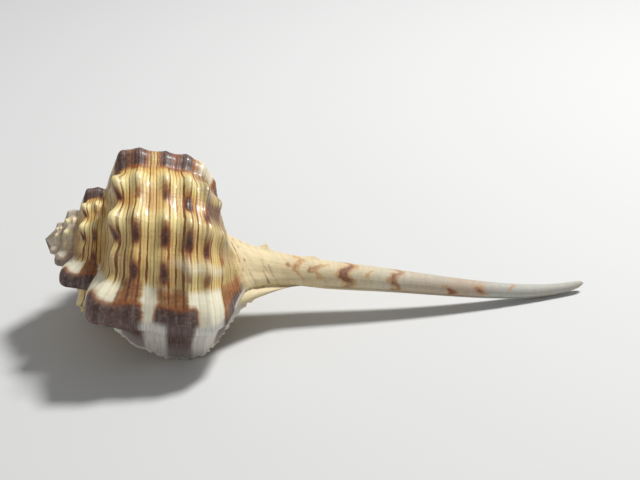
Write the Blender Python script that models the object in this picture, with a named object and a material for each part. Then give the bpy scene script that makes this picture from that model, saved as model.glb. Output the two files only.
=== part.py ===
# Murex shell, lying on its mouth: one solid that grew in one piece.
# A long-canalled murex has a round body whorl, a low spire and a long straight siphonal canal.
# The outside is one ribbon that winds from the apex to the lip. Its front edge is covered
# by the next whorl, and that shared edge is the suture. Inside the lip the shell is hollow.
# Sizes are in millimetres on the shell's own axis: "along" runs from the apex towards the tip
# of the canal and "out" is the distance from the axis. Growth is counted in whorls, 0 at the lip.

import math

import bmesh
import bpy
import numpy as np
from mathutils import Matrix

MM = 0.001
TURN = 2 * math.pi

# Coiling. Angles are measured from straight up, turning down over the front.
WHORL_GROWTH = 1.75
FIRST_WHORL = -4
LIP_ANGLE = math.radians(131)

# The whorl's outline at the lip, from the suture over the shoulder to the tip of the canal.
# Columns: along, out, and how far the point takes part in the coiling (1) or stays put (0).
OUTLINE = np.array([
    (13.2, 12.9, 1.0),
    (14.2, 16.3, 1.0),
    (16.2, 19.8, 1.0),
    (19.3, 22.0, 1.0),
    (23.1, 22.575, 1.0),
    (27.4, 22.8, 1.0),
    (31.6, 22.4, 1.0),
    (35.0, 21.0, 1.0),
    (37.4, 18.3, 1.0),
    (38.9, 14.6, 1.0),
    (40.2, 10.6, 1.0),
    (41.9, 7.5, 1.0),
    (45.6, 4.8, 0.75),
    (51.0, 3.4, 0.35),
    (58.0, 2.75, 0.0),
    (70.0, 2.3, 0.0),
    (82.0, 1.9, 0.0),
    (94.0, 1.55, 0.0),
    (103.0, 1.2, 0.0),
    (108.5, 0.8, 0.0),
    (110.0, 0.0, 0.0),
])
SUTURE = 4          # outline point that the next whorl covers up to
CANAL_START = 11    # outline point where the body ends
SLIT_START = 14     # outline point where the mouth has narrowed to the canal's slit

# Varices: three thick ridges a whorl, each an old lip, at the same angles in every whorl.
# The shift is the movement of each outline point on a crest.
VARIX_AT = -0.097
VARIX_OFFSETS = (0.0, 0.283, 0.64)
VARIX_BEFORE = 0.040
VARIX_AFTER = 0.021
VARIX_SHIFT = np.array([
    (0.0, 0.0), (-0.2, 2.2), (-0.6, 3.5), (-0.3, 3.1), (0.0, 2.6), (0.2, 2.4), (0.5, 2.5),
    (0.9, 2.2), (1.0, 1.7), (1.0, 1.0), (0.8, 0.7), (0.5, 0.7), (0.2, 0.4), (0.0, 0.1),
])
# Every third varix, the lip's among them, reaches back over the whorl before.
REAR_REACH = (1.15, 1.9, 1.5, 1.5, 1.5, 1.5)
REAR_SHIFT = np.array([(0.0, 0.0), (-2.6, 0.6), (-3.0, 1.0), (-1.2, 0.6)])

# Past the last varix the lip draws in, most at its front.
LIP_SHIFT = np.array([
    (0.0, 0.0), (0.0, -0.5), (0.0, -1.0), (0.0, -1.3), (0.0, -1.6), (-0.2, -1.8), (-0.6, -2.0),
    (-1.4, -1.9), (-2.0, -1.6), (-1.8, -0.9), (-1.2, -0.4), (-0.5, -0.1),
])

# Ribs between the varices: share of the way from one varix to the next, and height. Knobs stand
# where cords cross them.
RIBS = ((0.260, 1.9), (0.524, 2.0), (0.738, 1.1))
RIB_WIDTH = 0.021
RIB_BASE = 0.35
KNOBS = ((16.6, 1.3), (20.4, 0.9), (26.2, 0.95), (30.9, 1.15), (34.4, 0.95), (37.4, 0.6))
KNOB_WIDTH = 1.5

# Three small spines on the canal's base: run from the suture, growth, height, half width.
SPINES = ((50.2, -0.395, 1.3, 0.46), (56.2, -0.395, 0.7, 0.55), (56.2, -0.0448, 0.75, 0.50))

# Mouth
LIP_THICKNESS = 1.4
LIP_SKEW = math.radians(-16)
SLIT_FLOOR = 0.4
SLIT_HALF_ANGLE = math.radians(11)
INNER_LIP = 0.9
HOLLOW_DEPTH = 0.45
HOLLOW = np.array([
    (14.9, 14.1), (17.9, 18.0), (22.0, 20.2), (27.0, 20.7), (31.4, 20.0), (34.6, 17.2), (36.2, 12.8),
    (35.4, 8.6), (31.2, 6.0), (26.6, 6.6), (22.8, 9.2), (18.9, 12.4),
])
HOLLOW_FRONT = 7    # point of HOLLOW nearest the canal
THROAT_DEPTH = 1.3

# The canal rises a little past its base, then its far end bends up and away from the lip's side.
BEND_START = 55.0
BEND_UP = 2.7
BEND_HUMP = 0.5
BEND_BACK = 6.0

# How it lies: rolled about the long axis, then the canal's end lowered.
REST_ROLL = math.radians(-2.286)
REST_PITCH = math.radians(9.815)

# Facets. Rows stand on the crests and in the valleys: shares of the way from one varix to the
# next, with one where the lip's own edge falls. Early whorls use only every fourth or second row.
ROWS = np.array([
    0.0, 0.035, 0.070, 0.105, 0.145, 0.185, 0.223, 0.260, 0.26944444444, 0.335, 0.385, 0.432,
    0.478, 0.524, 0.567, 0.610, 0.653, 0.695, 0.738, 0.785, 0.830, 0.872, 0.915, 0.958,
])
EVERY_ROW = (4, 2, 2, 1)
SPIRE_COLUMNS = np.array([0.0, 0.5, 1.0, 1.4, 1.8, 2.13, 2.5, 2.9, 3.3, 3.65, 4.0])
BASE_COLUMNS = np.array([
    4.0, 4.4, 4.73, 5.1, 5.45, 5.83, 6.3, 6.8, 7.4, 8.0, 8.5, 9.0, 9.5, 10.0, 10.5, 11.0,
])
THROAT_COLUMNS = np.array([
    11.0, 11.6, 12.1, 12.415, 12.506, 12.594, 12.9, 13.2, 13.4, 13.494, 13.583, 13.75, 14.0,
])
CANAL_COLUMNS = 9
HOLLOW_ROWS = 9

COLOUR = (0.60, 0.46, 0.29, 1.0)
ROUGHNESS = 0.42


def smooth(x):
    """0 below 0, 1 above 1, and a smooth step between."""
    x = np.clip(x, 0, 1)
    return x * x * (3 - 2 * x)


def size_at(whorl):
    return WHORL_GROWTH ** whorl


def crests():
    """Growth values of all varices, the lip's own first."""
    return [VARIX_AT - turns - offset for turns in range(2 - FIRST_WHORL) for offset in VARIX_OFFSETS]


def varix(whorl, step=1, strength=(1.0,)):
    """1 on the crest of a varix, 0 between. Only every so many of them, if asked."""
    total = np.zeros_like(whorl)
    for number, crest in enumerate(crests()[::step]):
        x = whorl - crest
        width = np.where(x < 0, VARIX_BEFORE, VARIX_AFTER)
        total += strength[min(number, len(strength) - 1)] * np.exp(-np.abs(x / width) ** 3)
    return total


def rib(whorl):
    """Height of the ribs, in millimetres at the lip's size."""
    height = np.zeros_like(whorl)
    for crest, before in zip(crests(), crests()[1:]):
        for share, tall in RIBS:
            place = before + (crest - before) * share
            height += tall * np.exp(-(((whorl - place) / RIB_WIDTH) ** 2))
    return height


def controls(whorl, suture):
    """Outline points for each row: coiled, raised at the varices, and starting on the suture."""
    size = size_at(whorl)[:, None]
    points = OUTLINE[None, :, :2] * (size ** OUTLINE[None, :, 2])[:, :, None]
    for amount, shift in (
        (varix(whorl), VARIX_SHIFT),
        (varix(whorl, 3, REAR_REACH), REAR_SHIFT),
        (smooth((whorl - VARIX_AT) / -VARIX_AT), LIP_SHIFT),
    ):
        points[:, : len(shift)] += (amount[:, None] * size)[:, :, None] * shift
    points[:, 0] = suture
    return points


def follow(points, place):
    """A smooth curve through each row's points, read at places (rows x columns)."""
    count = points.shape[1]
    segment = np.clip(np.floor(place).astype(int), 0, count - 2)
    t = (place - segment)[..., None]
    weights = (
        0.5 * (-t + 2 * t**2 - t**3),
        0.5 * (2 - 5 * t**2 + 3 * t**3),
        0.5 * (t + 4 * t**2 - 3 * t**3),
        0.5 * (-(t**2) + t**3),
    )
    rows = np.arange(points.shape[0])[:, None]
    result = np.zeros(place.shape + (2,))
    for offset, weight in enumerate(weights):
        result += weight * points[rows, np.clip(segment + offset - 1, 0, count - 1)]
    return result


def outward(points, place):
    """Unit normal of the outline at each place, pointing away from the axis."""
    last = points.shape[1] - 1
    ahead = follow(points, np.minimum(place + 0.01, last))
    behind = follow(points, np.maximum(place - 0.01, 0))
    tangent = ahead - behind
    normal = np.stack([-tangent[..., 1], tangent[..., 0]], axis=-1)
    return normal / np.maximum(np.linalg.norm(normal, axis=-1, keepdims=True), 1e-9)


def run_of(place):
    """Distance travelled along the lip's outline from the suture, in millimetres."""
    steps = np.linspace(0, len(OUTLINE) - 1, 1201)
    base = follow(OUTLINE[None, :, :2], steps[None])[0]
    run = np.concatenate([[0], np.cumsum(np.linalg.norm(np.diff(base, axis=0), axis=1))])
    return np.interp(place, steps, run)


def knobs(place):
    """Height of a rib across the whorl: low, with knobs where the spiral cords cross it."""
    steps = np.linspace(0, CANAL_START, 401)
    along = follow(OUTLINE[None, :, :2], steps[None])[0][:, 0]
    here = run_of(place)
    height = np.full_like(here, RIB_BASE)
    for knob, tall in KNOBS:
        centre = run_of(np.interp(knob, along, steps))
        height += (tall - RIB_BASE) * np.exp(-(((here - centre) / KNOB_WIDTH) ** 2))
    return height * smooth(place / 0.8) * (1 - smooth((place - 10) / 1.5))


def spines(whorl, place, out):
    """Height of the canal's spines: a bell round each one's own place."""
    here = run_of(place)
    height = np.zeros_like(out)
    for run, grown, tall, width in SPINES:
        round_canal = TURN * (whorl[:, None] - grown) * out
        height += tall * np.exp(-(((here - run) ** 2 + round_canal ** 2) / width ** 2))
    return height


def outside(whorl, place, suture):
    """Points (along, out) of the outer surface, and its outward direction there."""
    points = controls(whorl, suture)
    normal = outward(points, place)
    base = follow(points, place)
    height = (rib(whorl) * size_at(whorl))[:, None] * knobs(place) + spines(whorl, place, base[..., 1])
    return base + normal * height[..., None], normal


def to_space(points, angle):
    """From (along, out) at an angle to x, y, z, with the canal's bend."""
    x = points[..., 0]
    bend = np.clip((x - BEND_START) / (OUTLINE[-1, 0] - BEND_START), 0, 1)
    y = -points[..., 1] * np.sin(angle) + BEND_BACK * bend**2.6
    z = points[..., 1] * np.cos(angle) + BEND_UP * bend**7 + BEND_HUMP * np.sin(np.pi * bend**0.6) ** 2
    return np.stack([x + 0 * y, y, z], axis=-1)


class Facets:
    """Collects points and faces, then welds the points that coincide."""

    def __init__(self):
        self.points = []
        self.faces = []
        self.count = 0

    def add(self, points):
        flat = points.reshape(-1, 3)
        index = np.arange(len(flat)).reshape(points.shape[:-1]) + self.count
        self.points.append(flat)
        self.count += len(flat)
        return index

    def grid(self, index):
        """Quads between neighbouring rows and columns."""
        quads = np.stack([index[:-1, :-1], index[1:, :-1], index[1:, 1:], index[:-1, 1:]], axis=-1)
        self.faces += quads.reshape(-1, 4).tolist()

    def fan(self, loop, centre):
        ends = np.roll(loop, -1)
        self.faces += [[a, b, centre] for a, b in zip(loop.tolist(), ends.tolist())]

    def to_finer(self, coarse, fine):
        """Triangles between a column of points and the next one, which has twice as many."""
        for row in range(len(coarse) - 1):
            a, b = coarse[row], coarse[row + 1]
            c, d, e = fine[2 * row : 2 * row + 3]
            self.faces += [[a, d, c], [a, b, d], [b, e, d]]

    def build(self, name):
        mesh = bpy.data.meshes.new(name)
        mesh.from_pydata((np.concatenate(self.points) * MM).tolist(), [], self.faces)
        shape = bmesh.new()
        shape.from_mesh(mesh)
        bmesh.ops.remove_doubles(shape, verts=shape.verts, dist=2e-7)
        bmesh.ops.dissolve_degenerate(shape, edges=shape.edges, dist=2e-7)
        bmesh.ops.triangulate(shape, faces=shape.faces)
        bmesh.ops.recalc_face_normals(shape, faces=shape.faces)
        shape.to_mesh(mesh)
        shape.free()
        return mesh


def rows_between(start, every):
    """Growth values of the rows from one whorl's start to its end, the lip's angle at both."""
    ends = [VARIX_AT + 1 - VARIX_OFFSETS[2], *crests()[:4]]
    all_rows = np.concatenate([
        low + (high - low) * ROWS for high, low in zip(ends[::-1][1:], ends[::-1])
    ])
    inside = all_rows[(all_rows > -1 - 1e-6) & (all_rows < 1e-6)]
    return start + 1 + inside[::every]


def edge_of(whorl, suture):
    """The line on a whorl that the next one covers it up to."""
    return outside(whorl, np.full((len(whorl), 1), float(SUTURE)), suture)[0][:, 0]


def spire(facets):
    """The whorls before the body whorl. Returns the suture that the body whorl starts on."""
    rows = rows_between(FIRST_WHORL, EVERY_ROW[0])
    suture = edge_of(rows - 1, OUTLINE[0, :2] * size_at(rows - 1)[:, None])
    for number, every in enumerate(EVERY_ROW[:-1]):
        start = FIRST_WHORL + number
        rows = rows_between(start, every)
        place = SPIRE_COLUMNS + 0 * rows[:, None]
        points = outside(rows, place, suture)[0]
        index = facets.add(to_space(points[:, :-1], (LIP_ANGLE + TURN * rows)[:, None]))
        facets.grid(index)
        if number == 0:
            cap = facets.add(np.array([[0.3, 0.0, 0.0]]))[0]
            facets.fan(np.concatenate([index[:, 0], index[0, :0:-1]]), cap)
        fine = rows_between(start, EVERY_ROW[number + 1])
        finer_suture = np.stack([np.interp(fine, rows, suture[:, k]) for k in (0, 1)], axis=-1)
        edge = edge_of(fine, finer_suture)
        seam = facets.add(to_space(edge, LIP_ANGLE + TURN * fine))
        if len(fine) > len(rows):
            facets.to_finer(index[:, -1], seam)
        else:
            facets.grid(np.stack([index[:, -1], seam], axis=1))
        suture = edge
    return suture


def body_whorl(facets, suture):
    """The last whorl with the canal, its lip, and the hollow behind the mouth."""
    columns = np.concatenate([
        SPIRE_COLUMNS[:-1],
        BASE_COLUMNS[:-1],
        THROAT_COLUMNS[:-1],
        np.linspace(SLIT_START, len(OUTLINE) - 1, CANAL_COLUMNS + 1),
    ])
    first_base = len(SPIRE_COLUMNS) - 1
    slit_column = first_base + len(BASE_COLUMNS) - 1 + len(THROAT_COLUMNS) - 1
    whorl = rows_between(-1, EVERY_ROW[-1])
    place = columns + 0 * whorl[:, None]
    points, normal = outside(whorl, place, suture)

    # The inner lip stands up along the row that the mouth starts on.
    window = smooth((columns - SUTURE - 0.2) / 2) * (1 - smooth((columns - 12) / 2))
    ridge = INNER_LIP * np.exp(-(((whorl + 1) / 0.016) ** 2))[:, None] * window
    points = points + normal * ridge[..., None]

    # The canal is open by a narrow groove where its start and its end meet.
    across = TURN * np.minimum(whorl + 1, -whorl)[:, None]
    groove = np.exp(-((across / SLIT_HALF_ANGLE) ** 4)) * smooth((columns - 12) / (SLIT_START - 12))
    points[..., 1] *= 1 - (1 - SLIT_FLOOR) * groove
    points[0, slit_column:] = points[-1, slit_column:]

    # The rear of the lip trails behind the rest of it.
    skew = LIP_SKEW * smooth(columns / 1.2) * (1 - smooth((columns - 2) / 3.5))
    angle = LIP_ANGLE + TURN * whorl[:, None] + skew * smooth((whorl[:, None] - VARIX_AT) / -VARIX_AT)
    index = facets.add(to_space(points, angle))
    facets.grid(index)

    # The mouth's edge: forwards along the lip's inner side, back along the inner lip.
    lip = columns[: slit_column + 1]
    thickness = LIP_THICKNESS * smooth(lip / 0.8) * (1 - smooth((lip - 10) / 3.5))
    inner = points[-1, : slit_column + 1] - normal[-1, : slit_column + 1] * thickness[:, None]
    inner_angle = angle[-1, : slit_column + 1]
    inner_index = facets.add(to_space(inner, inner_angle))
    facets.grid(np.stack([index[-1, : slit_column + 1], inner_index], axis=0))
    back = slice(slit_column - 1, first_base, -1)
    edge = np.concatenate([inner, points[0, back]])
    edge_angle = np.concatenate([inner_angle, angle[0, back] + TURN])
    edge_index = np.concatenate([inner_index, index[0, back]])

    # The hollow behind it: rings back into the whorl, matched to the mouth's edge by distance.
    closed = np.concatenate([HOLLOW[-1:], HOLLOW, HOLLOW[:2]])
    steps = np.linspace(1, len(HOLLOW) + 1, 481)
    curve = follow(closed[None], steps[None])[0]
    run = np.concatenate([[0], np.cumsum(np.linalg.norm(np.diff(curve, axis=0), axis=1))])
    front_run = np.interp(HOLLOW_FRONT + 1, steps, run)
    size_along = np.concatenate([[0], np.cumsum(np.linalg.norm(np.diff(edge, axis=0), axis=1))])
    rest = size_along[-1] + np.linalg.norm(edge[-1] - edge[0]) - size_along[slit_column]
    share = np.where(
        np.arange(len(edge)) <= slit_column,
        size_along / size_along[slit_column] * front_run,
        front_run + (size_along - size_along[slit_column]) / rest * (run[-1] - front_run),
    )
    ring = np.stack([np.interp(share, run, curve[:, k]) for k in (0, 1)], axis=-1)
    throat = smooth((edge[:, 0] - 38) / 8) * (1 - smooth((edge[:, 0] - 52) / 6))
    deeper = np.array([0.0, -math.cos(LIP_ANGLE), -math.sin(LIP_ANGLE)])
    previous = edge_index
    for number in range(1, HOLLOW_ROWS + 1):
        blend = smooth(np.array(number / 3.0))
        back_by = HOLLOW_DEPTH * (number / HOLLOW_ROWS) ** 1.2
        narrower = 1 - 0.75 * smooth(np.array((number - 5) / (HOLLOW_ROWS - 5 + 0.5)))
        centre = HOLLOW.mean(axis=0)
        target = (centre + (ring - centre) * narrower) * size_at(-back_by)
        here = edge + (target - edge) * blend
        placed = to_space(here, LIP_ANGLE - TURN * back_by + (edge_angle - LIP_ANGLE) * (1 - blend))
        sunk = THROAT_DEPTH * smooth(np.array(number / 2.0)) * (1 - blend)
        placed = placed - (throat * sunk)[:, None] * deeper
        current = facets.add(placed)
        facets.grid(np.stack([np.append(previous, previous[0]), np.append(current, current[0])]))
        previous = current
    end = facets.add(placed.mean(axis=0)[None])[0]
    facets.fan(previous, end)


def make_shell():
    facets = Facets()
    suture = spire(facets)
    body_whorl(facets, suture)
    mesh = facets.build("shell")
    pose = Matrix.Rotation(REST_PITCH, 4, "Y") @ Matrix.Rotation(REST_ROLL, 4, "X")
    mesh.transform(pose)
    corners = np.array([vertex.co for vertex in mesh.vertices])
    low, high = corners.min(axis=0), corners.max(axis=0)
    middle = (low + high) / 2
    mesh.transform(Matrix.Translation((-middle[0], -middle[1], -low[2])))
    shell = bpy.data.objects.new("shell", mesh)
    bpy.context.scene.collection.objects.link(shell)
    return shell


def make_material():
    material = bpy.data.materials.new("shell_lime")
    material.use_nodes = True
    surface = material.node_tree.nodes["Principled BSDF"]
    surface.inputs["Base Color"].default_value = COLOUR
    surface.inputs["Roughness"].default_value = ROUGHNESS
    surface.inputs["Metallic"].default_value = 0.0
    return material


for old in list(bpy.data.objects):
    bpy.data.objects.remove(old)
make_shell().data.materials.append(make_material())
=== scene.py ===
# Murex shell lying on its mouth, with its looks.
# The shell is one ribbon wound round its axis from the apex to the lip; outerSurface gives the rule.
# Sizes are millimetres and growth is in whorls, unless a note says otherwise.
import math

import bpy
import numpy as np
from mathutils import Matrix, Vector


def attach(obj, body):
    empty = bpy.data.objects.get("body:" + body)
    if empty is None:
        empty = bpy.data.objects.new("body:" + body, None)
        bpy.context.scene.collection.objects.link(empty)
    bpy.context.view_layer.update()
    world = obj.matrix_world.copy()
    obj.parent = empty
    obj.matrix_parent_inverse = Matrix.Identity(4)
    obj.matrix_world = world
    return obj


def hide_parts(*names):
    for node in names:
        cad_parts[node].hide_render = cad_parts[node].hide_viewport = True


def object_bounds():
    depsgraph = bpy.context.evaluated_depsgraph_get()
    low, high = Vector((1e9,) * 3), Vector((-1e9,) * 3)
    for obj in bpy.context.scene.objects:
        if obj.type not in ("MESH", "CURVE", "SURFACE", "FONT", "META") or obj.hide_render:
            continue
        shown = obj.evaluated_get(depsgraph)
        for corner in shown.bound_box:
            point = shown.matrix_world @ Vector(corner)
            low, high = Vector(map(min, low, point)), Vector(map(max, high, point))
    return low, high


mm = 0.001
turn = 2 * math.pi

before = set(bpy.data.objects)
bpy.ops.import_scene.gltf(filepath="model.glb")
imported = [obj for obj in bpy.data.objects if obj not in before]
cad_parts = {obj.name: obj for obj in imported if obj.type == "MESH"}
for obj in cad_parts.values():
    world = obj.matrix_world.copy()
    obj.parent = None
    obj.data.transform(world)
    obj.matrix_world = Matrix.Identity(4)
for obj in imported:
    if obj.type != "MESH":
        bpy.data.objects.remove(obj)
cadLow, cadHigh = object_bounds()
print("frame loaded")


# Coiling and outline of the shell on its own axis. "along" runs from the apex to the canal's tip,
# "out" is the distance from the axis, "run" is the way along the outline from the suture, and
# growth is 0 at the lip and negative before it.
shellForm = {
    "whorlGrowth": 1.75,
    "firstWhorl": -4,
    "lipAngle": 131.0,
    # along, out, share of coiling
    "outline": [
        (13.2, 12.9, 1.0), (14.2, 16.3, 1.0), (16.2, 19.8, 1.0), (19.3, 22.0, 1.0), (23.1, 22.575, 1.0),
        (27.4, 22.8, 1.0), (31.6, 22.4, 1.0), (35.0, 21.0, 1.0), (37.4, 18.3, 1.0), (38.9, 14.6, 1.0),
        (40.2, 10.6, 1.0), (41.9, 7.5, 1.0), (45.6, 4.8, 0.75), (51.0, 3.4, 0.35), (58.0, 2.75, 0.0),
        (70.0, 2.3, 0.0), (82.0, 1.9, 0.0), (94.0, 1.55, 0.0), (103.0, 1.2, 0.0), (108.5, 0.8, 0.0),
        (110.0, 0.0, 0.0),
    ],
    "suture": 4,        # outline point that the next whorl covers up to
    "canalStart": 11,   # where the body ends
    "slitStart": 14,    # where the mouth has narrowed to the canal's slit
    "apexAlong": 0.3,
    "rollDegrees": -2.286,      # how it lies, about its own axis and then about the Y axis
    "pitchDegrees": 9.815,
}

varixForm = {
    "at": -0.097,                       # the lip's own varix
    "offsets": (0.0, 0.283, 0.64),      # the same three angles in every whorl
    "before": 0.040,                    # half width on either side of the crest
    "after": 0.021,
    # shifts of the outline's points, along and out, at a crest
    "shift": [
        (0.0, 0.0), (-0.2, 2.2), (-0.6, 3.5), (-0.3, 3.1), (0.0, 2.6), (0.2, 2.4), (0.5, 2.5),
        (0.9, 2.2), (1.0, 1.7), (1.0, 1.0), (0.8, 0.7), (0.5, 0.7), (0.2, 0.4), (0.0, 0.1),
    ],
    # further shift of the varices in line with the lip's, which reach back over the whorl before
    "rearReach": (1.15, 1.9, 1.5, 1.5, 1.5, 1.5),
    "rearShift": [(0.0, 0.0), (-2.6, 0.6), (-3.0, 1.0), (-1.2, 0.6)],
    # shift from the last varix to the lip's edge
    "lipShift": [
        (0.0, 0.0), (0.0, -0.5), (0.0, -1.0), (0.0, -1.3), (0.0, -1.6), (-0.2, -1.8), (-0.6, -2.0),
        (-1.4, -1.9), (-2.0, -1.6), (-1.8, -0.9), (-1.2, -0.4), (-0.5, -0.1),
    ],
}

ribForm = {
    "ribs": ((0.260, 1.9), (0.524, 2.0), (0.738, 1.1)),     # share of the way between varices, height
    "width": 0.021,
    "base": 0.35,           # height between the knobs
    # along, height
    "knobs": ((16.6, 1.3), (20.4, 0.9), (26.2, 0.95), (30.9, 1.15), (34.4, 0.95), (37.4, 0.6)),
    "knobWidth": 1.5,
    "knobRound": 0.22,      # extra height that sets the knobs apart
    "knobRoundWidth": 1.0,
    "cordHeight": 0.26,     # the spiral cords that run through the knobs
    "cordWidth": 0.75,
    "cordLoss": 0.4,        # share of the cords' height that a varix swallows
    "threadSpacing": 1.42,  # finer spiral threads between them
    "threadHeight": 0.10,
    "varixKnobs": 0.5,      # how far knobs above the level stand out on a varix
    "varixLevel": 0.6,
}

# dark spots past each rib's knobs
spotForm = {
    "ahead": (0.026, 0.021, 0.010),     # from each of the three ribs to its spots
    # for each rib, how much further each of its six spots lies
    "later": (
        (0.0, 0.0, 0.0, 0.014, 0.028, 0.040),
        (0.0, 0.0, 0.0, 0.003, 0.010, 0.018),
        (0.0, 0.0, 0.0, 0.0, 0.0, 0.0),
    ),
    "strength": (
        (1.05, 0.60, 0.85, 1.45, 0.95, 0.4),
        (1.1, 1.05, 1.15, 1.15, 0.95, 0.6),
        (0.45, 1.15, 1.2, 0.55, 0.65, 0.3),
    ),
    "lean": (0.8, 0.0, 0.0, 0.1, -0.3, -0.5),       # run gained over half a spot's length
    "halfLength": 0.0175,
    "drawnOut": (1.25, 0.62),           # times the half length, before and past the middle
    "middle": 0.004,
    "halfWidth": 0.90,
    "warmth": 0.75,                     # golden surround, this many times as long and wide
    "warmLength": 1.7,
    "warmWidth": 1.9,
}

# the last rib before a varix: golden stretches, and a pale strip that is strongest near the canal; the
# strip is partly the shell's pale and partly painted highlight along the rib's crest
lastRibForm = {
    "golden": ((7.0, 15.5), (18.5, 22.5)),
    "goldStrength": 0.9,
    "goldHalfWidth": 0.014,
    "pale": 0.10,
    "paleGain": 0.44,
    "paleRise": (17, 8),                # from this run, over this much
    "paleFade": (28, 7),
    "paleHalfWidth": 0.014,
}

# Colour blocks across the varices, as stretches of run. A span is growth from the crest:
# where it starts, over how much it rises, where it ends, over how much it falls.
blockForm = {
    "brown": ((10.5, 14.4), (16.9, 23.0), (30.2, 43.5)),
    "brownSpan": (-0.070, 0.036, 0.045, 0.020),
    "purple": ((5.6, 14.5), (16.6, 24.6), (31.4, 43.0)),
    "purpleSpan": (-0.033, 0.018, 0.034, 0.012),
    "purpleWave": (0.003, 1.1),         # the start waves by this much, this many radians a millimetre
    "paleSpan": (-0.058, 0.026, 0.036, 0.020),
    "paleEnd": (41, 2),
    "soft": 1.4,                        # width of a block's border
    # the upper varix is browner: less purple between its knobs, and brown in its pale gaps
    "upperNumber": 1,                   # counted back from the lip's own
    "upperBrown": ((14.4, 16.9), (23.0, 26.0)),
    "upperBrownStrength": 0.55,
    "upperPurple": (0.58, 0.45, 1.2),   # between knobs, more on a knob, the knob's half width
    "upperPale": (0.50, 0.38, (12, 2, 24, 2)),      # strength, less in the middle, and where that is
    "face": ((9.5, 14.5), (18.8, 24.2), (30.0, 35.0)),
    "faceStart": -0.008,
    "faceLater": (0.016, 8, 6),         # how much later it starts near the suture, and until where
}

# darker band along the front of the body, and a dark patch in it past each of the first two ribs
frontForm = {
    "run": (25.3, 43.0),
    "narrowing": (45, 0.08, 0.20),      # its rear edge's shift a whorl, from here past a varix, over
    "strength": (0.42, 0.35, 0.16),     # everywhere, and more past a varix, fading over
    "patches": ((0.030, 29.8), (-0.011, 34.0)),     # growth past the rib, run
    "patchSize": (0.018, 2.4),          # half length and half width
}

# run, growth, height, half width
spineForm = {
    "spines": ((50.2, -0.395, 1.3, 0.46), (56.2, -0.395, 0.7, 0.55), (56.2, -0.0448, 0.75, 0.50)),
}

canalForm = {
    "bendStart": 55.0,      # along
    "bendUp": 2.7,          # at the tip
    "bendHump": 0.5,        # half way to it
    "bendBack": 6.0,        # at the tip
    "slitFloor": 0.4,       # share of the canal's radius that the slit leaves
    "slitHalfDegrees": 11.0,
    # brown marks: run, half width, strength, growth, half length round the canal
    "marks": (
        (48.9, 0.4, 0.5, -0.19, 0.08), (53.6, 0.6, 0.9, -0.25, 0.14), (56.7, 0.6, 0.9, -0.24, 0.12),
        (61.3, 1.2, 1.3, -0.20, 0.35), (65.9, 0.7, 0.8, -0.23, 0.08), (71.0, 1.1, 1.4, -0.25, 0.30),
        (83.0, 1.0, 1.1, -0.09, 0.10), (89.3, 1.4, 0.9, -0.17, 0.09), (96.0, 0.9, 0.8, -0.27, 0.10),
        (58.0, 1.0, 1.0, -0.66, 0.14), (67.0, 1.2, 1.1, -0.60, 0.16), (77.5, 1.0, 0.9, -0.68, 0.13),
        (86.0, 1.1, 0.8, -0.57, 0.12),
    ),
}

mouthForm = {
    "lipThickness": 1.4,
    "lipSkewDegrees": -16.0,        # the rear of the lip trails behind the rest
    "innerLip": 0.9,
    "innerLipWidth": 0.016,
    "throatDepth": 1.3,
    "hollowDepth": 0.45,            # how far the hollow goes back
    # along, out
    "hollow": [
        (14.9, 14.1), (17.9, 18.0), (22.0, 20.2), (27.0, 20.7), (31.4, 20.0), (34.6, 17.2), (36.2, 12.8),
        (35.4, 8.6), (31.2, 6.0), (26.6, 6.6), (22.8, 9.2), (18.9, 12.4),
    ],
    "hollowFront": 7,               # the hollow's point nearest the canal
    "scallop": 0.12,                # waves of the lip's free edge
    "rimWidth": 0.012,              # growth given to the rim, and to the hollow's blind end
    "endGrowth": 0.47,
}

meshDetail = {
    "rowsPerWhorl": 288,
    "spireColumns": 28,
    "baseColumns": 96,
    "throatColumns": 26,
    "canalColumns": 60,
    "hollowRows": 30,
}

spireCount = meshDetail["spireColumns"]
slitColumn = spireCount + meshDetail["baseColumns"] + meshDetail["throatColumns"]
outline = np.array(shellForm["outline"])
lipAngle = math.radians(shellForm["lipAngle"])


def smoothStep(x):
    # 0 below 0, 1 above 1, and 3x^2 - 2x^3 between
    x = np.clip(x, 0, 1)
    return x * x * (3 - 2 * x)


def sizeAt(whorl):
    # every whorl is whorlGrowth times the one before
    return shellForm["whorlGrowth"] ** whorl


def crests():
    # growth values of all varices, the lip's own first
    turns = range(2 - shellForm["firstWhorl"])
    return [varixForm["at"] - number - offset for number in turns for offset in varixForm["offsets"]]


def varixAmount(whorl, step=1, strength=(1.0,)):
    # sum of bells exp(-|x / width|^3), steeper after each crest than before it
    total = np.zeros_like(whorl)
    for number, crest in enumerate(crests()[::step]):
        x = whorl - crest
        width = np.where(x < 0, varixForm["before"], varixForm["after"])
        total += strength[min(number, len(strength) - 1)] * np.exp(-np.abs(x / width) ** 3)
    return total


def ribPlaces():
    # growth value, height, and number among the three, of every rib between the varices
    found = crests()
    return [
        (before + (crest - before) * share, tall, number)
        for crest, before in zip(found, found[1:])
        for number, (share, tall) in enumerate(ribForm["ribs"])
    ]


def ribHeight(whorl):
    # sum of the ribs' bells exp(-(x / width)^2)
    height = np.zeros_like(whorl)
    for place, tall, number in ribPlaces():
        height += tall * np.exp(-((whorl - place) / ribForm["width"]) ** 2)
    return height


def outlineRows(whorl, suture):
    # outline times size^share, plus the shifts of varix, rear reach and lip, starting on the suture
    size = sizeAt(whorl)[:, None]
    points = outline[None, :, :2] * (size ** outline[None, :, 2])[:, :, None]
    lipStart = varixForm["at"]
    for amount, shift in (
        (varixAmount(whorl), varixForm["shift"]),
        (varixAmount(whorl, 3, varixForm["rearReach"]), varixForm["rearShift"]),
        (smoothStep((whorl - lipStart) / -lipStart), varixForm["lipShift"]),
    ):
        points[:, : len(shift)] += (amount[:, None] * size)[:, :, None] * np.array(shift)
    points[:, 0] = suture
    return points


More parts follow.
